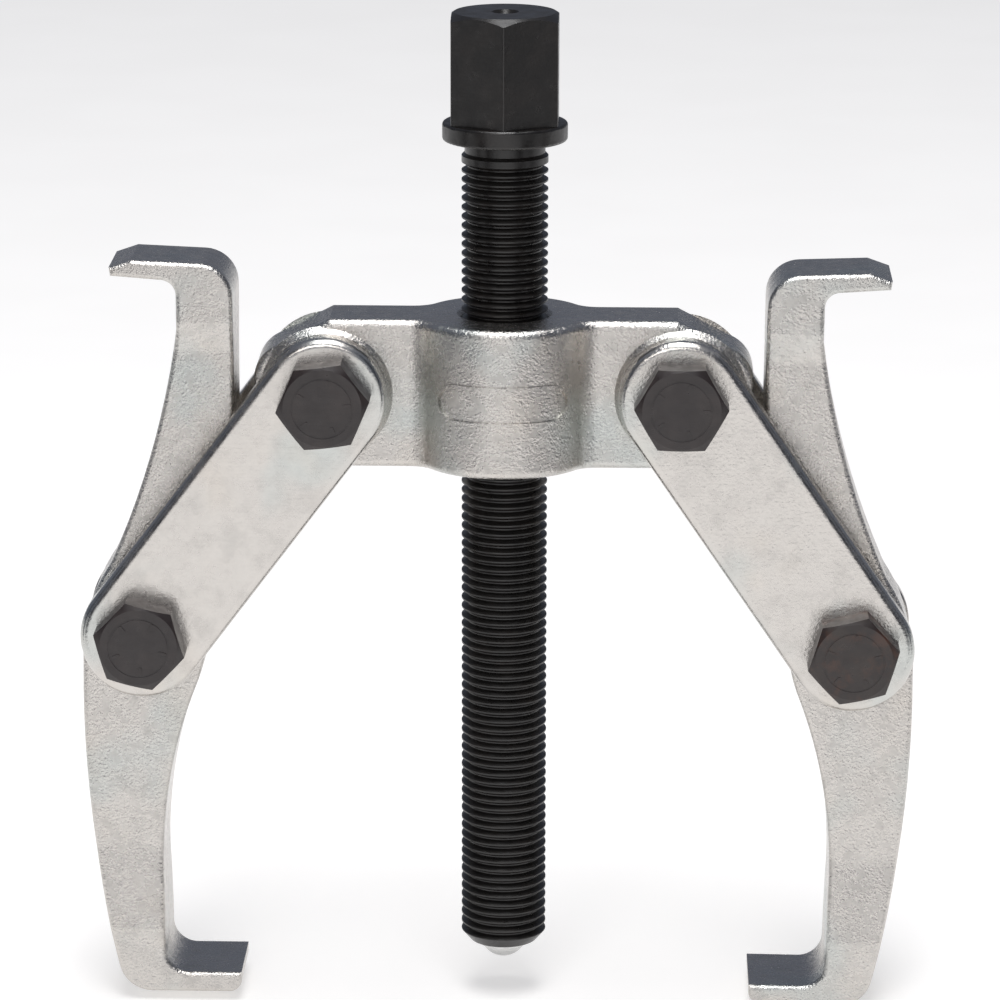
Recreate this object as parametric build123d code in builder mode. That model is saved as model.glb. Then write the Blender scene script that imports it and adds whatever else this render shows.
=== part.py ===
"""Two-arm gear puller with reversible hooks.

A forged crosshead carries an M14 x 1.5 forcing screw with a hardened ball in its tip.
The forcing screw's thread is simplified to ring grooves in a plain bore, with no helix;
the threads of the bolts and nuts are true helices.
Two pairs of flat links hang from the crosshead on M8 bolts, and each pair carries a forged
arm with a hook at both ends. Units are millimetres, +Z is up, +X is to the right, and the
origin is the lowest point of the ball, on the screw's axis.
"""
import math
import os

from build123d import *

os.makedirs("parts", exist_ok=True)

# ---------------------------------------------------------------- driving dimensions
TIP_REACH = 96.9            # from the upper bolt axes down to the ball's lowest point

BRIDGE_HEIGHT = 24.2
EAR_HALF_THICKNESS = 6.2
EAR_END = 40.0              # from the screw axis to the end of each ear
EAR_SLOPE_START = 27.8      # where the top of the ear starts to fall
EAR_SLOPE_ANGLE = 27.5      # degrees below horizontal
EAR_TOP_CORNER = 6.0
EAR_LOW_CORNER = 10.0
BOSS_RADIUS = 14.4
BOSS_BLEND = 3.6
BRIDGE_EDGE = 1.3
BOSS_MOUTH_RADIUS = 7.7
BOLT_SPACING = 56.8         # between the two upper bolt axes

PAD_RADIUS = 10.2           # raised round pads that the links turn against
PAD_RAISE = 0.8

LABEL_LENGTH = 21.4         # plain raised frame on the boss
LABEL_HEIGHT = 6.2
LABEL_LINE = 0.4
LABEL_RAISE = 0.3

LINK_LENGTH = 49.6          # between bolt axes
LINK_WIDTH = 20.0
LINK_THICKNESS = 4.0
LINK_OUTER_EDGE = 1.4
LINK_INNER_EDGE = 0.4
LINK_ANGLE = {"left": 36.9, "right": 34.3}     # degrees from straight down, at rest
ARM_TILT = {"left": 0.0, "right": 0.6}         # degrees, hook inward, at rest

BOLT_DIAMETER = 8.0
BOLT_PITCH = 1.25
BOLT_LENGTH = 35.0
BOLT_THREAD_LENGTH = 16.0
BOLT_HEAD_FLATS = 13.0
BOLT_HEAD_HEIGHT = 5.3
NUT_HEIGHT = 8.0
NUT_HEX_HEIGHT = 6.2
NUT_COLLAR_RADIUS = 5.9
RING_OUTER_RADIUS = 5.2
RING_THICKNESS = 1.6
HEAD_TURN = {               # degrees that each head is turned clockwise from flats level
    "left_upper": -7.0,
    "right_upper": 0.0,
    "left_lower": 14.0,
    "right_lower": -13.0,
}
BOLT_END_CHAMFER = 0.9
HEAD_RING_RADIUS = 4.95     # a fine turned ring on each bolt head
MARK_COUNT = 5              # short plain bars inside it

SCREW_DIAMETER = 13.86
SCREW_PITCH = 1.5
SCREW_TOP = 157.7           # top of the drive hex
HEX_FLATS = 17.0
HEX_HEIGHT = 17.5
COLLAR_RADIUS = 10.0
COLLAR_THICKNESS = 3.0
NECK_RADIUS = 6.45
NECK_LENGTH = 2.4
SCREW_END_RADIUS = 5.5
BALL_RADIUS = 4.0
BALL_PROUD = 3.2            # how far the ball stands out of the screw's end

# arm: heights are up from its own pivot, and distances across are outward from it
ARM_HALF_THICKNESS = 6.2
UPPER_HOOK_HALF_WIDTH = 7.0
LOWER_HOOK_HALF_WIDTH = 8.0
UPPER_CLAW_TOP = 60.6
UPPER_CLAW_RISE = 0.7       # how much higher the claw's top is at its tip
UPPER_CLAW_TIP = 4.7
UPPER_CLAW_THICKNESS = 2.8
LOWER_CLAW_GRIP = -58.15    # the flat gripping face
LOWER_CLAW_THICKNESS = 3.4
LOWER_CLAW_TIP = -15.2
SHANK_INSIDE = -15.0        # inner face of the shank below the upper hook
SHANK_TOP_WIDTH = 9.1
UPPER_RAMP = (51.3, 46.5)   # heights between which the arm thins below the upper hook
LOWER_RAMP = (-37.0, -50.5)     # heights between which it thickens above the lower hook
RAMP_BENDS = (1.5, 6.0, 12.0, 2.0)      # radius of the bend at each of those heights
ARM_HOOK_CORNER = 5.5       # outer corner behind each hook
ARM_GRIP_CORNER = 4.0       # inner corner of the lower hook
ARM_EDGE = 0.8
ARM_PAD_RADIUS = 9.0

# ---------------------------------------------------------------- named clearances
PIVOT_PLAY = 0.1            # radial, bolt in every hole that it passes through
SIDE_PLAY = 0.12            # between a pad and the link beside it
SCREW_PLAY = 0.1            # radial, between the forcing screw's crests and its bore
NUT_THREAD_PLAY = 0.06      # axial, on each flank of a bolt's thread in its nut
NUT_ROOT_PLAY = 0.1         # radial, outside the crests of a bolt
BALL_PLAY = 0.10            # radial, ball in its socket
RING_PLAY = 0.05

# ---------------------------------------------------------------- worked-out places
BRIDGE_TOP = TIP_REACH + BRIDGE_HEIGHT / 2
BRIDGE_BOTTOM = TIP_REACH - BRIDGE_HEIGHT / 2
PAD_FACE = EAR_HALF_THICKNESS + PAD_RAISE
ARM_PAD_RAISE = PAD_FACE - ARM_HALF_THICKNESS
LINK_INSIDE = PAD_FACE + SIDE_PLAY
LINK_OUTSIDE = LINK_INSIDE + LINK_THICKNESS
PIVOT_RADIUS = BOLT_DIAMETER / 2 + PIVOT_PLAY
SIGN = {"left": -1, "right": 1}
SIDES = ("left", "right")
TAN_30 = math.tan(math.radians(30))


def upper_bolt(side):
    """X and Z of the upper bolt axis on one side."""
    return SIGN[side] * BOLT_SPACING / 2, TIP_REACH


def lower_bolt(side):
    """X and Z of the lower bolt axis on one side, at rest."""
    x, z = upper_bolt(side)
    angle = math.radians(LINK_ANGLE[side])
    return x + SIGN[side] * LINK_LENGTH * math.sin(angle), z - LINK_LENGTH * math.cos(angle)


def side_plane(side, place, turn=0.0):
    """A plane square to the Y axis whose local x points outward and local y points up.

    turn tips the local y outward by that many degrees.
    """
    angle = math.radians(turn)
    outward = SIGN[side]
    x, z = place
    return Plane(
        origin=(x, 0, z),
        x_dir=(outward * math.cos(angle), 0, -math.sin(angle)),
        z_dir=(0, -outward, 0),
    )


# ---------------------------------------------------------------- threads
def thread_sweep(plane, start, length, pitch, inner, outer):
    """A helical bar about the plane's axis, with 60 degree flanks.

    inner and outer are each a radius and half of the bar's height at that radius. At zero
    degrees the bar's middle is at the given start, measured along the plane's axis.
    """
    path = Helix(pitch=pitch, height=length, radius=inner[0])
    depth = outer[0] - inner[0]
    with BuildPart() as bar:
        with BuildSketch(Plane(origin=path @ 0, x_dir=(1, 0, 0), z_dir=path % 0)):
            with BuildLine():
                Polyline(
                    (0, -inner[1]),
                    (depth, -outer[1]),
                    (depth, outer[1]),
                    (0, inner[1]),
                    close=True,
                )
            make_face()
        sweep(path=path, is_frenet=True)
    return plane.from_local_coords(bar.part.moved(Location((0, 0, start))))


def external_groove(plane, start, length, diameter, pitch, play):
    """Groove of a screw, with its flanks slack by half the given play along the axis."""
    pitch_radius = diameter / 2 - 0.3248 * pitch
    root_radius = diameter / 2 - 0.6134 * pitch
    half_at_root = pitch / 4 + play / 2 - (pitch_radius - root_radius) * TAN_30
    half_at_mouth = 0.49 * pitch
    mouth_radius = root_radius + (half_at_mouth - half_at_root) / TAN_30
    root = (root_radius, half_at_root)
    return thread_sweep(plane, start, length, pitch, root, (mouth_radius, half_at_mouth))


def internal_ridge(plane, start, length, diameter, pitch, play, root_play):
    """Tooth of a nut: it runs in the middle of external_groove, from a bore of bore_radius."""
    pitch_radius = diameter / 2 - 0.3248 * pitch
    crest_radius = diameter / 2 - 0.5 * pitch
    root_radius = bore_radius(diameter, root_play) + 0.05
    half = pitch / 4 - play / 2
    crest = (crest_radius, half - (pitch_radius - crest_radius) * TAN_30)
    root = (root_radius, half + (root_radius - pitch_radius) * TAN_30)
    return thread_sweep(plane, start, length, pitch, crest, root)


def bore_radius(diameter, root_play):
    """Radius of the bore that an internal thread's tooth stands in."""
    return diameter / 2 + root_play


def in_mesh(external_start, pitch, above):
    """The lowest start over the given height where a tooth lies in the screw's groove."""
    return external_start + math.ceil((above - external_start) / pitch) * pitch


# ---------------------------------------------------------------- forcing screw
SCREW_END = BALL_PROUD
HEX_BOTTOM = SCREW_TOP - HEX_HEIGHT
COLLAR_BOTTOM = HEX_BOTTOM - COLLAR_THICKNESS
THREAD_TOP = COLLAR_BOTTOM - NECK_LENGTH
SCREW_END_CHAMFER = (SCREW_DIAMETER / 2 - SCREW_END_RADIUS) * 1.15
THREAD_START = SCREW_END + SCREW_END_CHAMFER + 0.5 * SCREW_PITCH
BALL_CENTRE = BALL_RADIUS


def thread_profile():
    """Points up the side of the screw, whose thread is simplified to a row of ring grooves.

    The rings have the thread's pitch and depth but no lead, so they don't engage the plain
    bore of the crosshead. The coupling of the joints stands in for that engagement.
    """
    major = SCREW_DIAMETER / 2
    root = major - 0.6134 * SCREW_PITCH
    half_root = SCREW_PITCH / 16
    half_mouth = half_root + (major - root) * TAN_30
    turns = math.floor((THREAD_TOP - half_mouth - THREAD_START) / SCREW_PITCH) + 1
    points = []
    for turn in range(turns):
        middle = THREAD_START + turn * SCREW_PITCH
        points += [
            (major, middle - half_mouth),
            (root, middle - half_root),
            (root, middle + half_root),
            (major, middle + half_mouth),
        ]
    return points


def build_screw():
    major = SCREW_DIAMETER / 2
    hex_corner = HEX_FLATS / math.sqrt(3)
    with BuildPart() as screw:
        with BuildSketch(Plane.XZ):
            with BuildLine():
                Polyline(
                    (0, SCREW_END),
                    (SCREW_END_RADIUS, SCREW_END),
                    (major, SCREW_END + SCREW_END_CHAMFER),
                    *thread_profile(),
                    (major, THREAD_TOP),
                    (NECK_RADIUS, THREAD_TOP + 0.5),
                    (NECK_RADIUS, COLLAR_BOTTOM),
                    (COLLAR_RADIUS, COLLAR_BOTTOM),
                    (COLLAR_RADIUS, HEX_BOTTOM),
                    (0, HEX_BOTTOM),
                    close=True,
                )
            make_face()
        revolve(axis=Axis.Z)
        rim = screw.edges().filter_by(GeomType.CIRCLE).filter_by(
            lambda edge: abs(edge.radius - COLLAR_RADIUS) < 0.01
        )
        fillet(rim, 0.5)
        neck = screw.edges().filter_by(GeomType.CIRCLE).filter_by(
            lambda edge: abs(edge.radius - NECK_RADIUS) < 0.01
        )
        fillet(neck.sort_by(Axis.Z)[-1], 0.6)
        with BuildSketch(Plane.XY.offset(HEX_BOTTOM)):
            RegularPolygon(radius=hex_corner, side_count=6, rotation=30)
        extrude(amount=HEX_HEIGHT)
        corners = [
            edge
            for edge in screw.edges().filter_by(Axis.Z)
            if edge.center().Z > HEX_BOTTOM and abs(edge.length - HEX_HEIGHT) < 0.01
        ]
        fillet(corners, 0.5)
        # the drive hex has its top corners turned off at 30 degrees
        with BuildSketch(Plane.XZ):
            with BuildLine():
                Polyline(
                    (HEX_FLATS / 2 - 0.4, SCREW_TOP),
                    (hex_corner + 1.0, SCREW_TOP - (hex_corner + 1.4 - HEX_FLATS / 2) * 0.65),
                    (hex_corner + 1.0, SCREW_TOP + 1.0),
                    (HEX_FLATS / 2 - 0.4, SCREW_TOP + 1.0),
                    close=True,
                )
            make_face()
        revolve(axis=Axis.Z, mode=Mode.SUBTRACT)
        # centre hole left by turning
        with Locations(Location((0, 0, SCREW_TOP))):
            CounterSinkHole(radius=1.0, counter_sink_radius=2.2, depth=3.0, counter_sink_angle=60)
        with Locations(Location((0, 0, BALL_CENTRE))):
            Sphere(BALL_RADIUS + BALL_PLAY, mode=Mode.SUBTRACT)
    return screw.part


def build_ball():
    with BuildPart() as ball:
        with Locations(Location((0, 0, BALL_CENTRE))):
            Sphere(BALL_RADIUS)
    return ball.part


# ---------------------------------------------------------------- crosshead
def ear_outline():
    """Half outline of the crosshead seen from the front, right of the screw axis."""
    top = BRIDGE_HEIGHT / 2
    fall = (EAR_END - EAR_SLOPE_START) * math.tan(math.radians(EAR_SLOPE_ANGLE))
    with BuildSketch(Plane.XZ) as outline:
        with BuildLine():
            FilletPolyline(
                (-EAR_SLOPE_START, top),
                (-EAR_END, top - fall),
                (-EAR_END, -top),
                (EAR_END, -top),
                (EAR_END, top - fall),
                (EAR_SLOPE_START, top),
                radius=[EAR_TOP_CORNER, EAR_LOW_CORNER, EAR_LOW_CORNER, EAR_TOP_CORNER],
            )
            Line((EAR_SLOPE_START, top), (-EAR_SLOPE_START, top))
        make_face()
    return outline.sketch


def label_frame():
    """A plain raised frame with round ends, wrapped on the front of the boss."""
    outer = BOSS_RADIUS + LABEL_RAISE
    with BuildPart() as frame:
        with BuildSketch(Plane.XZ.offset(BOSS_RADIUS * 0.4)):
            with Locations((0, TIP_REACH)):
                SlotOverall(LABEL_LENGTH, LABEL_HEIGHT)
                SlotOverall(
                    LABEL_LENGTH - 2 * LABEL_LINE,
                    LABEL_HEIGHT - 2 * LABEL_LINE,
                    mode=Mode.SUBTRACT,
                )
        extrude(amount=BOSS_RADIUS)
        with BuildSketch(Plane.XY.offset(BRIDGE_BOTTOM)):
            Circle(outer)
        extrude(amount=BRIDGE_HEIGHT, mode=Mode.INTERSECT)
    return frame.part


def is_upright(edge):
    """True for an edge that runs along Z."""
    along = edge.end_point() - edge.start_point()
    return abs(along.Z) > 0.99 * edge.length


def round_pad(plane, base, raise_by):
    """A raised round pad with a sloped rim, standing on the given plane."""
    with BuildPart() as pad:
        with BuildSketch(plane):
            Circle(base)
        extrude(amount=raise_by, taper=40)
    return pad.part


def build_bridge():
    with BuildPart() as bridge:
        with BuildSketch(Plane.XY.offset(BRIDGE_BOTTOM)):
            Rectangle(2 * EAR_END, 2 * EAR_HALF_THICKNESS)
            Circle(BOSS_RADIUS)
        extrude(amount=BRIDGE_HEIGHT)
        corners = bridge.edges().filter_by(Axis.Z).filter_by(
            lambda edge: abs(edge.center().X) < BOSS_RADIUS
        )
        fillet(corners, BOSS_BLEND)
        with Locations(Location((0, 0, TIP_REACH))):
            add(
                extrude(ear_outline(), amount=BOSS_RADIUS + 1, both=True, mode=Mode.PRIVATE),
                mode=Mode.INTERSECT,
            )
        flat_faces = bridge.faces().filter_by(Plane.XY) + bridge.faces().filter_by(Plane.XZ)
        rims = [
            edge
            for edge in flat_faces.edges()
            if abs(edge.center().Y) > EAR_HALF_THICKNESS - 0.01 and not is_upright(edge)
        ]
        fillet(rims, BRIDGE_EDGE)
        for side in SIDES:
            x, z = upper_bolt(side)
            for face in (-1, 1):
                root = Plane(
                    origin=(x, face * (EAR_HALF_THICKNESS - 0.4), z),
                    x_dir=(1, 0, 0),
                    z_dir=(0, face, 0),
                )
                add(round_pad(root, PAD_RADIUS + PAD_RAISE, PAD_RAISE + 0.4))
            with Locations(Location((x, 0, z), (90, 0, 0))):
                Hole(PIVOT_RADIUS)
        add(label_frame())
        bore = SCREW_DIAMETER / 2 + SCREW_PLAY
        mouth_depth = BOSS_MOUTH_RADIUS - bore
        with BuildSketch(Plane.XZ):
            with BuildLine():
                Polyline(
                    (0, BRIDGE_TOP),
                    (BOSS_MOUTH_RADIUS, BRIDGE_TOP),
                    (bore, BRIDGE_TOP - mouth_depth),
                    (bore, BRIDGE_BOTTOM + mouth_depth),
                    (BOSS_MOUTH_RADIUS, BRIDGE_BOTTOM),
                    (0, BRIDGE_BOTTOM),
                    close=True,
                )
            make_face()
        revolve(axis=Axis.Z, mode=Mode.SUBTRACT)
    return bridge.part


# ---------------------------------------------------------------- links
def build_link(side, face):
    """A flat link; face is -1 for the front one and 1 for the rear one."""
    ends = [upper_bolt(side), lower_bolt(side)]
    middle = ((ends[0][0] + ends[1][0]) / 2, (ends[0][1] + ends[1][1]) / 2)
    inside = Plane(
        origin=(middle[0], face * LINK_INSIDE, middle[1]),
        x_dir=(ends[1][0] - ends[0][0], 0, ends[1][1] - ends[0][1]),
        z_dir=(0, face, 0),
    )
    with BuildPart() as link:
        with BuildSketch(inside):
            SlotCenterToCenter(LINK_LENGTH, LINK_WIDTH)
            with Locations((-LINK_LENGTH / 2, 0), (LINK_LENGTH / 2, 0)):
                Circle(PIVOT_RADIUS, mode=Mode.SUBTRACT)
        extrude(amount=LINK_THICKNESS)
        outline = link.edges().filter_by(lambda edge: edge.length > LINK_WIDTH)
        by_depth = outline.group_by(Axis.Y)
        outer, inner = (by_depth[0], by_depth[-1]) if face < 0 else (by_depth[-1], by_depth[0])
        fillet(outer, LINK_OUTER_EDGE)
        fillet(inner, LINK_INNER_EDGE)
    return link.part


# ---------------------------------------------------------------- arms
def arm_outline(plane):
    """The arm seen from the front."""
    claw_low = UPPER_CLAW_TOP + UPPER_CLAW_RISE - UPPER_CLAW_THICKNESS
    shank_outside = SHANK_INSIDE + SHANK_TOP_WIDTH
    foot = LOWER_CLAW_GRIP - LOWER_CLAW_THICKNESS
    with BuildSketch(plane) as outline:
        with BuildLine():
            Line((SHANK_INSIDE, 36.0), (SHANK_INSIDE, UPPER_CLAW_TOP))
            Line((SHANK_INSIDE, UPPER_CLAW_TOP), (1.2, UPPER_CLAW_TOP + UPPER_CLAW_RISE))
            Line((1.2, UPPER_CLAW_TOP + UPPER_CLAW_RISE), (UPPER_CLAW_TIP, claw_low + 1.6))
            Line((UPPER_CLAW_TIP, claw_low + 1.6), (UPPER_CLAW_TIP - 0.2, claw_low + 0.2))
            Line((UPPER_CLAW_TIP - 0.2, claw_low + 0.2), (shank_outside, claw_low - 0.6))
            Line((shank_outside, claw_low - 0.6), (shank_outside, 50.0))
            ThreePointArc((shank_outside, 50.0), (-2.4, 32.7), (5.4, 10.9))
            ThreePointArc((5.4, 10.9), (8.8, 4.2), (10.1, -5.0))
            ThreePointArc((10.1, -5.0), (9.0, -33.5), (5.0, -56.9))
            Line((5.0, -56.9), (3.9, foot))
            Line((3.9, foot), (LOWER_CLAW_TIP, foot))
            Line((LOWER_CLAW_TIP, foot), (LOWER_CLAW_TIP, LOWER_CLAW_GRIP))
            Line((LOWER_CLAW_TIP, LOWER_CLAW_GRIP), (-2.8, LOWER_CLAW_GRIP))
            Line((-2.8, LOWER_CLAW_GRIP), (-2.6, -43.0))
            ThreePointArc((-2.6, -43.0), (-4.3, -22.4), (-8.6, -8.5))
            ThreePointArc((-8.6, -8.5), (-10.1, -2.5), (-10.3, 4.0))
            ThreePointArc((-10.3, 4.0), (-13.6, 20.0), (SHANK_INSIDE, 36.0))
        make_face()

        def corner(x, z):
            return outline.vertices().sort_by_distance((x, z, 0))[0]

        fillet(corner(SHANK_INSIDE, UPPER_CLAW_TOP), ARM_HOOK_CORNER)
        fillet(corner(shank_outside, claw_low - 0.6), ARM_GRIP_CORNER - 1.5)
        fillet(corner(3.9, foot), ARM_HOOK_CORNER)
        fillet(corner(LOWER_CLAW_TIP, foot), LOWER_CLAW_THICKNESS - 1.4)
        fillet(corner(-2.8, LOWER_CLAW_GRIP), ARM_GRIP_CORNER)
        fillet(corner(5.4, 10.9), 12.0)
        fillet(corner(10.1, -5.0), 20.0)
        fillet(corner(-8.6, -8.5), 10.0)
        fillet(corner(-10.3, 4.0), 10.0)
    return outline.sketch


def arm_side_profile(plane):
    """Half of the arm's thickness along its length, both sides of the middle."""
    high = UPPER_CLAW_TOP + UPPER_CLAW_RISE + 2
    low = LOWER_CLAW_GRIP - LOWER_CLAW_THICKNESS - 2
    right = [
        (UPPER_HOOK_HALF_WIDTH, high),
        (UPPER_HOOK_HALF_WIDTH, UPPER_RAMP[0]),
        (ARM_HALF_THICKNESS, UPPER_RAMP[1]),
        (ARM_HALF_THICKNESS, LOWER_RAMP[0]),
        (LOWER_HOOK_HALF_WIDTH, LOWER_RAMP[1]),
        (LOWER_HOOK_HALF_WIDTH, low),
    ]
    left = [(-y, z) for y, z in reversed(right)]
    with BuildSketch(plane) as profile:
        with BuildLine():
            Polyline(*right, *left, close=True)
        make_face()
        for height, radius in zip(UPPER_RAMP + LOWER_RAMP, RAMP_BENDS):
            bends = [bend for bend in profile.vertices() if abs(bend.Y - height) < 0.01]
            fillet(bends, radius)
    return profile.sketch


def build_arm(side):
    front = side_plane(side, lower_bolt(side), ARM_TILT[side])
    across = Plane(origin=front.origin, x_dir=front.z_dir, z_dir=-front.x_dir)
    with BuildPart() as arm:
        add(extrude(arm_outline(front), amount=10, both=True, mode=Mode.PRIVATE))
        add(
            extrude(arm_side_profile(across), amount=30, both=True, mode=Mode.PRIVATE),
            mode=Mode.INTERSECT,
        )
        broad_faces = [face for face in arm.faces() if abs(face.normal_at().Y) > 0.7]
        edges = ShapeList([edge for face in broad_faces for edge in face.edges()])
        rims = [edge for edge in edges if edges.count(edge) == 1]
        fillet(rims, ARM_EDGE)
        for face in (-1, 1):
            root = Plane(
                origin=front.origin + Vector(0, face * (ARM_HALF_THICKNESS - 0.4), 0),
                x_dir=(1, 0, 0),
                z_dir=(0, face, 0),
            )
            add(round_pad(root, ARM_PAD_RADIUS + ARM_PAD_RAISE, ARM_PAD_RAISE + 0.4))
        with Locations(Location(front.origin, (90, 0, 0))):
            Hole(PIVOT_RADIUS)
    return arm.part


# ---------------------------------------------------------------- bolts, nuts and rings
NUT_FACE = LINK_OUTSIDE
BOLT_UNDERHEAD = -LINK_OUTSIDE
BOLT_END = BOLT_UNDERHEAD + BOLT_LENGTH
BOLT_THREAD_START = BOLT_END - BOLT_THREAD_LENGTH


def hexagon(flats, turn):
    """Side of the plane's x axis is a corner when turn is zero, so two flats lie level."""
    return RegularPolygon(radius=flats / math.sqrt(3), side_count=6, rotation=turn)


def corner_cutter(plane, flats, outer_face, rising):
    """The ring that turns a hexagon's corners off at 30 degrees, at height outer_face."""
    reach = flats / math.sqrt(3) + 1.0
    touch = flats / 2 - 0.25
    drop = (reach - touch) * TAN_30
    with BuildPart() as cutter:
        with BuildSketch(Plane(origin=plane.origin, x_dir=plane.x_dir, z_dir=-plane.y_dir)):
            with BuildLine():
                Polyline(
                    (touch, outer_face),
                    (reach, outer_face - rising * drop),
                    (reach, outer_face + rising * 1.0),
                    (touch, outer_face + rising * 1.0),
                    close=True,
                )
            make_face()
        revolve(axis=Axis(plane.origin, plane.z_dir))
    return cutter.part


def build_bolt(place, turn):
    """A hex bolt along Y, its head at the front; local height runs to the rear."""
    axis = Plane(origin=(place[0], 0, place[1]), x_dir=(1, 0, 0), z_dir=(0, 1, 0))
    radius = BOLT_DIAMETER / 2
    head_face = BOLT_UNDERHEAD - BOLT_HEAD_HEIGHT
    with BuildPart() as bolt:
        with BuildSketch(axis.offset(BOLT_UNDERHEAD)):
            Circle(radius)
        extrude(amount=BOLT_LENGTH)
        chamfer(bolt.edges().sort_by(Axis.Y)[-1], BOLT_END_CHAMFER)
        with BuildSketch(axis.offset(head_face)):
            hexagon(BOLT_HEAD_FLATS, turn)
        extrude(amount=BOLT_HEAD_HEIGHT)
        add(corner_cutter(axis, BOLT_HEAD_FLATS, head_face, -1), mode=Mode.SUBTRACT)
        # a fine turned ring, with plain raised bars inside it
        with BuildSketch(axis.offset(head_face)):
            Circle(HEAD_RING_RADIUS)
            Circle(HEAD_RING_RADIUS - 0.3, mode=Mode.SUBTRACT)
        extrude(amount=0.1, mode=Mode.SUBTRACT)
        with BuildSketch(axis.offset(head_face - 0.12)):
            with PolarLocations(HEAD_RING_RADIUS - 1.0, MARK_COUNT, start_angle=turn):
                SlotOverall(1.3, 0.5)
        extrude(amount=0.3)
    run = (BOLT_THREAD_LENGTH - BOLT_END_CHAMFER) // BOLT_PITCH * BOLT_PITCH - BOLT_PITCH
    groove = external_groove(
        axis, BOLT_THREAD_START, run, BOLT_DIAMETER, BOLT_PITCH, NUT_THREAD_PLAY
    )
    return bolt.part - groove


def build_nut(place, turn):
    """A self-locking nut behind the rear link, with a round collar that holds its ring."""
    axis = Plane(origin=(place[0], 0, place[1]), x_dir=(1, 0, 0), z_dir=(0, 1, 0))
    end = NUT_FACE + NUT_HEIGHT
    bore = bore_radius(BOLT_DIAMETER, NUT_ROOT_PLAY)
    ring_seat = end - 0.5 - RING_THICKNESS
    with BuildPart() as nut:
        with BuildSketch(axis.offset(NUT_FACE)):
            hexagon(BOLT_HEAD_FLATS, turn)
        extrude(amount=NUT_HEX_HEIGHT)
        add(corner_cutter(axis, BOLT_HEAD_FLATS, NUT_FACE + NUT_HEX_HEIGHT, 1), mode=Mode.SUBTRACT)
        with BuildSketch(axis.offset(NUT_FACE + NUT_HEX_HEIGHT - 0.1)):
            Circle(NUT_COLLAR_RADIUS)
        extrude(amount=NUT_HEIGHT - NUT_HEX_HEIGHT + 0.1)
        collar = nut.faces().sort_by(Axis.Y)[-1].edges()
        fillet(collar, 0.8)
        with BuildSketch(axis.offset(NUT_FACE)):
            Circle(bore)
        extrude(amount=NUT_HEIGHT, mode=Mode.SUBTRACT)
        with BuildSketch(axis.offset(ring_seat)):
            Circle(RING_OUTER_RADIUS)
        extrude(amount=RING_THICKNESS, mode=Mode.SUBTRACT)
        with BuildSketch(axis.offset(ring_seat)):
            Circle(RING_OUTER_RADIUS - 0.5)
        extrude(amount=RING_THICKNESS + 1.0, mode=Mode.SUBTRACT)
    margin = 0.55 * BOLT_PITCH
    start = in_mesh(BOLT_THREAD_START, BOLT_PITCH, NUT_FACE + margin)
    ridge = internal_ridge(
        axis,
        start,
        ring_seat - margin - start,
        BOLT_DIAMETER,
        BOLT_PITCH,
        NUT_THREAD_PLAY,
        NUT_ROOT_PLAY,
    )
    return nut.part + ridge


def build_ring(place):
    """The nylon ring that keeps a nut from working loose."""
    axis = Plane(origin=(place[0], 0, place[1]), x_dir=(1, 0, 0), z_dir=(0, 1, 0))
    seat = NUT_FACE + NUT_HEIGHT - 0.5 - RING_THICKNESS
    with BuildPart() as ring:
        with BuildSketch(axis.offset(seat)):
            Circle(RING_OUTER_RADIUS)
            Circle(BOLT_DIAMETER / 2 + RING_PLAY, mode=Mode.SUBTRACT)
        extrude(amount=RING_THICKNESS)
    return ring.part


# ---------------------------------------------------------------- write every piece
def save(piece, label):
    piece.label = label
    export_step(piece, f"parts/{label}.step")


save(build_bridge(), "bridge")
save(build_screw(), "forcing_screw")
save(build_ball(), "pressure_ball")
for side in SIDES:
    save(build_arm(side), f"{side}_arm")
    save(build_link(side, -1), f"{side}_front_link")
    save(build_link(side, 1), f"{side}_rear_link")
    for level, place in (("upper", upper_bolt(side)), ("lower", lower_bolt(side))):
        turn = HEAD_TURN[f"{side}_{level}"]
        save(build_bolt(place, turn), f"{side}_{level}_bolt")
        save(build_nut(place, turn), f"{side}_{level}_nut")
        save(build_ring(place), f"{side}_{level}_nut_ring")
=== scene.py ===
"""Looks of the two-arm gear puller: materials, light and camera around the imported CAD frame."""

import math

import bpy
from mathutils import Matrix, Vector


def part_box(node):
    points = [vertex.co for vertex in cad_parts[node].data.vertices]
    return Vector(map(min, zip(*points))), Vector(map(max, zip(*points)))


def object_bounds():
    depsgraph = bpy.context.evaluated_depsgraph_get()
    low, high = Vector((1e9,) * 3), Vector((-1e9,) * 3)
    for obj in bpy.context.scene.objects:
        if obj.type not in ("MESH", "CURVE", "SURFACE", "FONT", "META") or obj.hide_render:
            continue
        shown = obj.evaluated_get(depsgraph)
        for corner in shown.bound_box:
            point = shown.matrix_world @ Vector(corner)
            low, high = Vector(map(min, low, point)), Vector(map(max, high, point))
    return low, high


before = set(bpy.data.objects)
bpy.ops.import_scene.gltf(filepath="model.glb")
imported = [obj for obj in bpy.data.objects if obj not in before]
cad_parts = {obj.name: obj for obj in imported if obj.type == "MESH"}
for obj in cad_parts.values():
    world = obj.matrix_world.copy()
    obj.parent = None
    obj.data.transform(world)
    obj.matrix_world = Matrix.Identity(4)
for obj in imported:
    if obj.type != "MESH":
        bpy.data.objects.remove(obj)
cad_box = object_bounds()

# ---------------------------------------------------------------- places read from the frame
BOLTS = [f"{side}_{level}_bolt" for side in ("left", "right") for level in ("upper", "lower")]
NUTS = [name.replace("_bolt", "_nut") for name in BOLTS]
RINGS = [name + "_ring" for name in NUTS]
FLOOR_GAP = 0.0002              # between the lower hook and the floor
FLOOR_Z = min(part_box("left_arm")[0].z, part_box("right_arm")[0].z) - FLOOR_GAP
MIDDLE = Vector((0.0, 0.0, (cad_box[0][2] + cad_box[1][2]) / 2))


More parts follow.
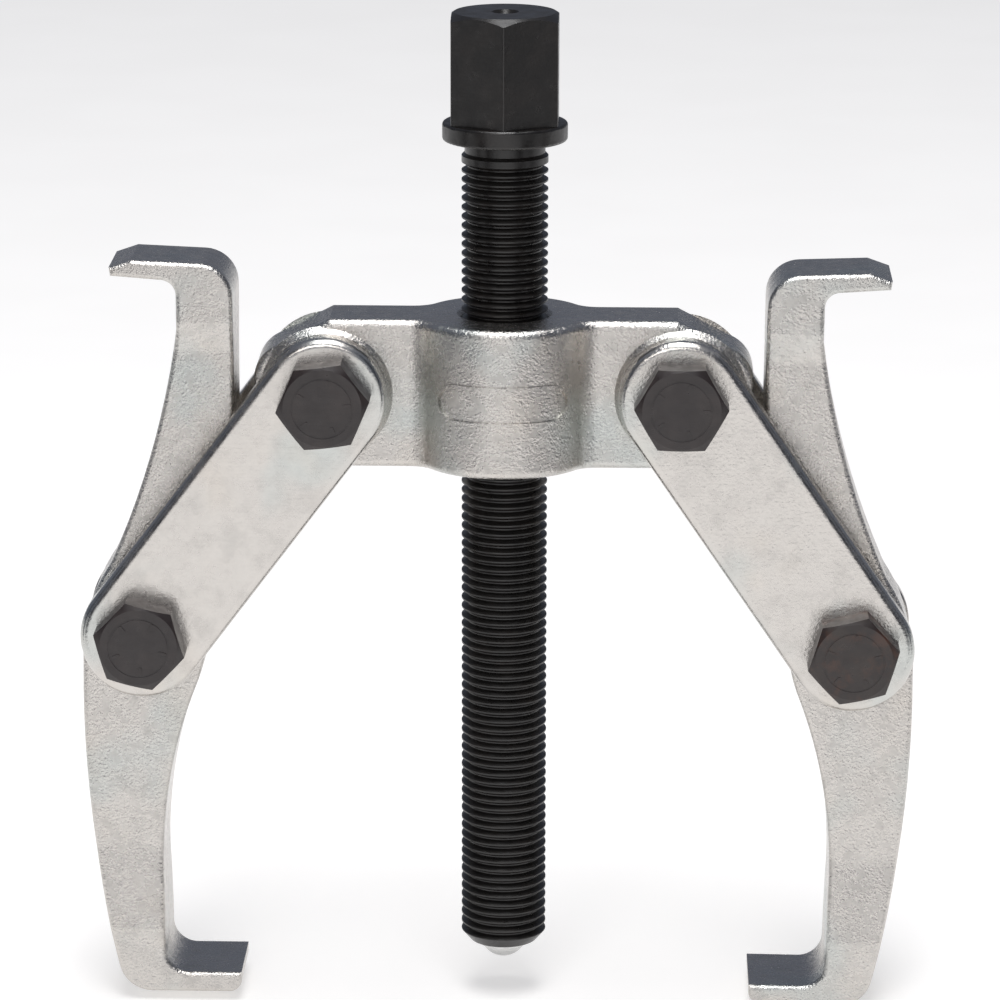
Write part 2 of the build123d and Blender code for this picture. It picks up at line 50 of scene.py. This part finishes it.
# ---------------------------------------------------------------- a small kit for node materials
def colour_value(colour):
    """The colour as a shader input takes it: another node's output, or three numbers and alpha."""
    return colour if isinstance(colour, bpy.types.NodeSocket) else (*colour, 1.0)


class Shader:
    """A material's nodes, with short methods for the ones that are used again and again."""

    def __init__(self, name):
        self.material = bpy.data.materials.new(name)
        self.material.use_nodes = True
        self.nodes = self.material.node_tree.nodes
        self.links = self.material.node_tree.links
        self.surface = self.nodes["Principled BSDF"]
        self.place = self.nodes.new("ShaderNodeTexCoord").outputs["Object"]

    def put(self, socket, value):
        """Link value to the socket if it is another node's output, or else store it there."""
        if isinstance(value, bpy.types.NodeSocket):
            self.links.new(value, socket)
        else:
            socket.default_value = value

    def noise(self, size, detail=3.0, roughness=0.5, stretch=None):
        """Noise whose features are about size metres across, from 0 to 1."""
        node = self.nodes.new("ShaderNodeTexNoise")
        place = self.place
        if stretch:
            mapping = self.nodes.new("ShaderNodeMapping")
            mapping.inputs["Scale"].default_value = stretch
            self.links.new(place, mapping.inputs["Vector"])
            place = mapping.outputs["Vector"]
        self.links.new(place, node.inputs["Vector"])
        node.inputs["Scale"].default_value = 1.0 / size
        node.inputs["Detail"].default_value = detail
        node.inputs["Roughness"].default_value = roughness
        return node.outputs["Fac"]

    def cells(self, size):
        """Distance to the nearest of many random points about size metres apart."""
        node = self.nodes.new("ShaderNodeTexVoronoi")
        self.links.new(self.place, node.inputs["Vector"])
        node.inputs["Scale"].default_value = 1.0 / size
        return node.outputs["Distance"]

    def axis(self, name):
        """One coordinate of the point in the row frame."""
        node = self.nodes.new("ShaderNodeSeparateXYZ")
        self.links.new(self.place, node.inputs[0])
        return node.outputs[name]

    def normal(self, name):
        """One coordinate of the surface's true normal."""
        geometry = self.nodes.new("ShaderNodeNewGeometry")
        node = self.nodes.new("ShaderNodeSeparateXYZ")
        self.links.new(geometry.outputs["True Normal"], node.inputs[0])
        return node.outputs[name]

    def maths(self, operation, a, b=0.0):
        node = self.nodes.new("ShaderNodeMath")
        node.operation = operation
        self.put(node.inputs[0], a)
        self.put(node.inputs[1], b)
        return node.outputs[0]

    def ramp(self, value, low, high, to_low=0.0, to_high=1.0, smooth=True):
        """Value mapped from low..high to to_low..to_high, and held outside that range."""
        node = self.nodes.new("ShaderNodeMapRange")
        node.interpolation_type = "SMOOTHSTEP" if smooth else "LINEAR"
        self.put(node.inputs["Value"], value)
        sockets = ("From Min", "From Max", "To Min", "To Max")
        for socket, number in zip(sockets, (low, high, to_low, to_high)):
            node.inputs[socket].default_value = number
        return node.outputs["Result"]

    def mix(self, share, a, b):
        """Colour a where share is 0 and colour b where it is 1."""
        node = self.nodes.new("ShaderNodeMix")
        node.data_type = "RGBA"
        self.put(node.inputs["Factor"], share)
        for socket, colour in (("A", a), ("B", b)):
            sockets = [s for s in node.inputs if s.name == socket and s.type == "RGBA"]
            self.put(sockets[0], colour_value(colour))
        return [s for s in node.outputs if s.type == "RGBA"][0]

    def bump(self, height, distance, over=None):
        """A bump whose full height is distance metres, on top of another bump if one is given."""
        node = self.nodes.new("ShaderNodeBump")
        node.inputs["Distance"].default_value = distance
        node.inputs["Strength"].default_value = 1.0
        self.links.new(height, node.inputs["Height"])
        if over is not None:
            self.links.new(over, node.inputs["Normal"])
        return node.outputs["Normal"]

    def finish(self, colour, roughness, normal=None, **fixed):
        """Set the shader's inputs. fixed are sockets that hold one number all over."""
        self.put(self.surface.inputs["Base Color"], colour_value(colour))
        self.put(self.surface.inputs["Roughness"], roughness)
        if normal is not None:
            self.links.new(normal, self.surface.inputs["Normal"])
        for name, number in fixed.items():
            self.surface.inputs[name.replace("_", " ")].default_value = number
        return self.material


# ---------------------------------------------------------------- materials
ZINC = (0.60, 0.575, 0.545)
ZINC_COOL = (0.50, 0.55, 0.54)
ZINC_WARM = (0.62, 0.57, 0.51)
ZINC_DULL = (0.43, 0.415, 0.395)


def zinc_colour(shader, dull_share):
    """Zinc plate with faint passivation tints and duller patches."""
    cool = shader.ramp(shader.noise(0.016, 2.0), 0.50, 0.72, 0.0, 0.55)
    warm = shader.ramp(shader.noise(0.011, 2.0, stretch=(1.0, 1.3, 0.8)), 0.52, 0.75, 0.0, 0.4)
    dull = shader.ramp(shader.noise(0.0032, 5.0, 0.6), 0.45, 0.75, 0.0, dull_share)
    tinted = shader.mix(warm, shader.mix(cool, ZINC, ZINC_COOL), ZINC_WARM)
    return shader.mix(dull, tinted, ZINC_DULL)


def forged_zinc(name, grit, parting_line):
    """Zinc plate over a shot-blasted forging.

    parting_line adds the dies' seam in the plane y = 0.
    """
    shader = Shader(name)
    fine = shader.noise(0.00042, 3.0, 0.65)
    pits = shader.ramp(shader.cells(0.00085), 0.0, 0.45)
    swell = shader.noise(0.0065, 2.0)
    normal = shader.bump(swell, 0.00022)
    normal = shader.bump(pits, 0.00003 * grit, over=normal)
    normal = shader.bump(fine, 0.00014 * grit, over=normal)
    if parting_line:
        across = shader.maths("ABSOLUTE", shader.axis("Y"))
        wander = shader.maths("MULTIPLY", shader.noise(0.009, 2.0), 0.0002)
        seam = shader.ramp(shader.maths("SUBTRACT", across, wander), 0.00002, 0.0002, 1.0, 0.0)
        sideways = shader.ramp(shader.maths("ABSOLUTE", shader.normal("X")), 0.75, 0.9)
        normal = shader.bump(shader.maths("MULTIPLY", seam, sideways), 0.00008, over=normal)
    roughness = shader.ramp(shader.noise(0.0016, 4.0, 0.6), 0.3, 0.75, 0.20, 0.34, smooth=False)
    return shader.finish(zinc_colour(shader, 0.5), roughness, normal, Metallic=1.0)


def rolled_zinc(name, grit):
    """Zinc plate over a punched link: smoother, with faint scratches along and across."""
    shader = Shader(name)
    fine = shader.noise(0.00055, 3.0, 0.6)
    scratches = shader.noise(0.0035, 2.0, stretch=(0.35, 1.0, 9.0))
    swell = shader.noise(0.011, 2.0)
    normal = shader.bump(swell, 0.00012)
    normal = shader.bump(scratches, 0.000012, over=normal)
    normal = shader.bump(fine, 0.00006 * grit, over=normal)
    roughness = shader.ramp(shader.noise(0.002, 4.0, 0.6), 0.3, 0.75, 0.20, 0.32, smooth=False)
    return shader.finish(zinc_colour(shader, 0.35), roughness, normal, Metallic=1.0)


def black_oxide(name, colour, worn, rust=0.0):
    """Oiled black oxide on steel, with a browner cast in patches."""
    shader = Shader(name)
    fine = shader.noise(0.0007, 3.0, 0.6)
    turning = shader.noise(0.0022, 2.0, stretch=(0.6, 0.6, 6.0))
    normal = shader.bump(turning, 0.00001)
    normal = shader.bump(fine, 0.00002, over=normal)
    patches = shader.ramp(shader.noise(0.004, 3.0), 0.42, 0.7)
    shade = shader.mix(patches, colour, worn)
    if rust:
        spots = shader.ramp(shader.noise(0.0035, 4.0, 0.65), 0.45, 0.68, 0.0, rust)
        shade = shader.mix(spots, shade, (0.10, 0.035, 0.015))
    roughness = shader.ramp(shader.noise(0.0018, 3.0), 0.3, 0.7, 0.26, 0.42, smooth=False)
    return shader.finish(shade, roughness, normal, Metallic=0.0, IOR=1.55)


def bright_ball(name):
    """Ground and polished hardened steel with a few rubbed arcs."""
    shader = Shader(name)
    rubbed = shader.noise(0.0012, 3.0, stretch=(1.0, 1.0, 5.0))
    normal = shader.bump(rubbed, 0.000008)
    roughness = shader.ramp(rubbed, 0.3, 0.7, 0.12, 0.3, smooth=False)
    colour = shader.mix(shader.ramp(rubbed, 0.4, 0.8), (0.66, 0.66, 0.65), (0.5, 0.5, 0.5))
    return shader.finish(colour, roughness, normal, Metallic=1.0)


def nylon(name):
    """The locking nut's insert."""
    shader = Shader(name)
    speckle = shader.noise(0.0006, 2.0)
    colour = shader.mix(shader.ramp(speckle, 0.3, 0.7), (0.10, 0.20, 0.42), (0.14, 0.26, 0.50))
    return shader.finish(colour, 0.45, shader.bump(speckle, 0.00001), Subsurface_Weight=0.1)


def give(node, material):
    """Put the material on a CAD node in place of its plain one."""
    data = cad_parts[node].data
    data.materials.clear()
    data.materials.append(material)


forging = forged_zinc("forged_zinc", 1.0, False)
arm_forging = forged_zinc("forged_zinc_arm", 1.0, True)
rough_link = rolled_zinc("rolled_zinc", 1.0)
smooth_link = rolled_zinc("rolled_zinc_smooth", 0.45)
nut_zinc = rolled_zinc("nut_zinc", 0.35)
screw_black = black_oxide("screw_oxide", (0.006, 0.005, 0.0045), (0.010, 0.008, 0.007))
bolt_black = black_oxide("bolt_oxide", (0.016, 0.011, 0.011), (0.024, 0.017, 0.016))
rusty_black = black_oxide(
    "bolt_oxide_rusty", (0.018, 0.012, 0.011), (0.026, 0.018, 0.015), rust=0.35
)

give("bridge", forging)
give("left_arm", arm_forging)
give("right_arm", arm_forging)
give("left_front_link", smooth_link)
for link in ("left_rear_link", "right_front_link", "right_rear_link"):
    give(link, rough_link)
give("forcing_screw", screw_black)
give("pressure_ball", bright_ball("polished_ball"))
for bolt in BOLTS:
    give(bolt, rusty_black if bolt == "right_lower_bolt" else bolt_black)
for nut in NUTS:
    give(nut, nut_zinc)
insert = nylon("nylon_insert")
for ring in RINGS:
    give(ring, insert)


# ---------------------------------------------------------------- floor, light and camera
FLOOR_HALF = 5.0
FLOOR_GLOW = 0.52               # keeps the floor near white around the object's shadow
WORLD_STRENGTH = 0.20
CARD_REACH = 0.30               # from the object's middle to the dark cards
CARD_HEIGHT = 0.34


def build_floor():
    """A plain pale floor that the hooks nearly touch."""
    bpy.ops.mesh.primitive_plane_add(size=2 * FLOOR_HALF, location=(0, 0, FLOOR_Z))
    floor = bpy.context.object
    floor.name = "floor"
    shader = Shader("pale_floor")
    tone = shader.ramp(shader.noise(0.05, 2.0), 0.3, 0.7)
    colour = shader.mix(tone, (0.60, 0.59, 0.58), (0.62, 0.61, 0.60))
    shader.surface.inputs["Emission Color"].default_value = (1.0, 0.985, 0.97, 1.0)
    shader.surface.inputs["Emission Strength"].default_value = FLOOR_GLOW
    floor.data.materials.append(shader.finish(colour, 0.9))


def aim(thing, target):
    """Turn a light or camera so that its -Z axis points at the target."""
    away = Vector(thing.location) - Vector(target)
    thing.rotation_euler = away.to_track_quat("Z", "Y").to_euler()


def softbox(name, place, size, watts, colour=(1.0, 1.0, 1.0)):
    light = bpy.data.lights.new(name, "AREA")
    light.shape = "RECTANGLE"
    light.size, light.size_y = size
    light.energy = watts
    light.color = colour
    box = bpy.data.objects.new(name, light)
    bpy.context.scene.collection.objects.link(box)
    box.location = place
    aim(box, MIDDLE)


def dark_card(name, first, last, colour):
    """A dark upright panel that only reflections see, for the dark bands along the bevels.

    first and last are its edges, in degrees round from the front.
    """
    middle = math.radians((first + last) / 2)
    width = 2 * CARD_REACH * math.tan(math.radians(abs(last - first) / 2))
    x, y = CARD_REACH * math.sin(middle), -CARD_REACH * math.cos(middle)
    place = (x, y, FLOOR_Z + CARD_HEIGHT / 2)
    bpy.ops.mesh.primitive_plane_add(size=1.0, location=place)
    card = bpy.context.object
    card.name = name
    card.scale = (width, CARD_HEIGHT, 1.0)
    aim(card, (0.0, 0.0, place[2]))
    shader = Shader(name + "_cloth")
    weave = shader.noise(0.02, 2.0)
    darker = tuple(0.7 * part for part in colour)
    card.data.materials.append(shader.finish(shader.mix(weave, darker, colour), 0.9))
    card.visible_camera = False
    card.visible_diffuse = False
    card.visible_shadow = False


def build_world():
    """Dim bluish surroundings for reflections, and white where the camera looks past the floor."""
    world = bpy.data.worlds.new("studio")
    bpy.context.scene.world = world
    world.use_nodes = True
    nodes, links = world.node_tree.nodes, world.node_tree.links
    dim = nodes["Background"]
    dim.inputs["Color"].default_value = (0.72, 0.80, 1.0, 1.0)
    dim.inputs["Strength"].default_value = WORLD_STRENGTH
    white = nodes.new("ShaderNodeBackground")
    white.inputs["Color"].default_value = (1.0, 1.0, 1.0, 1.0)
    path = nodes.new("ShaderNodeLightPath")
    either = nodes.new("ShaderNodeMixShader")
    links.new(path.outputs["Is Camera Ray"], either.inputs["Fac"])
    links.new(dim.outputs[0], either.inputs[1])
    links.new(white.outputs[0], either.inputs[2])
    links.new(either.outputs[0], nodes["World Output"].inputs["Surface"])


build_floor()
build_world()
softbox("top_light", (0.0, -0.25, 1.3), (0.55, 1.1), 17.0)
softbox("front_light", (-0.25, -1.5, 0.75), (0.9, 0.5), 5.0, (1.0, 0.97, 0.94))
for side, sign in (("left", -1), ("right", 1)):
    dark_card(f"{side}_card", sign * 31, sign * 57, (0.02, 0.024, 0.04))
    dark_card(f"{side}_far_card", sign * 70, sign * 86, (0.06, 0.065, 0.08))

CAMERA_DISTANCE = 0.755         # along the floor, from the screw's axis
CAMERA_HEIGHT = 0.2755
CAMERA_AZIMUTH = math.radians(1.6)
CAMERA_PITCH = math.radians(14.66)
CAMERA_ASIDE = -0.0007          # the view's middle is this far to one side of the screw
CAMERA_ROLL = math.radians(0.1)
LENS = 173.4                    # millimetres, on a sensor 36 mm wide
SENSOR_WIDTH = 36.0


def build_camera():
    camera = bpy.data.objects.new("camera", bpy.data.cameras.new("camera"))
    bpy.context.scene.collection.objects.link(camera)
    camera.data.lens = LENS
    camera.data.sensor_width = SENSOR_WIDTH
    camera.data.clip_start = 0.05
    camera.data.clip_end = 20.0
    right = Vector((math.cos(CAMERA_AZIMUTH), math.sin(CAMERA_AZIMUTH), 0.0))
    back = Vector((math.sin(CAMERA_AZIMUTH), -math.cos(CAMERA_AZIMUTH), 0.0))
    camera.location = CAMERA_DISTANCE * back + CAMERA_ASIDE * right
    camera.location.z += CAMERA_HEIGHT
    level = Matrix.Rotation(math.pi / 2 - CAMERA_PITCH, 3, "X")
    turn = Matrix.Rotation(CAMERA_AZIMUTH, 3, "Z") @ level
    camera.rotation_euler = (turn @ Matrix.Rotation(CAMERA_ROLL, 3, "Z")).to_euler()
    bpy.context.scene.camera = camera


build_camera()
bpy.context.scene.view_settings.view_transform = "Standard"
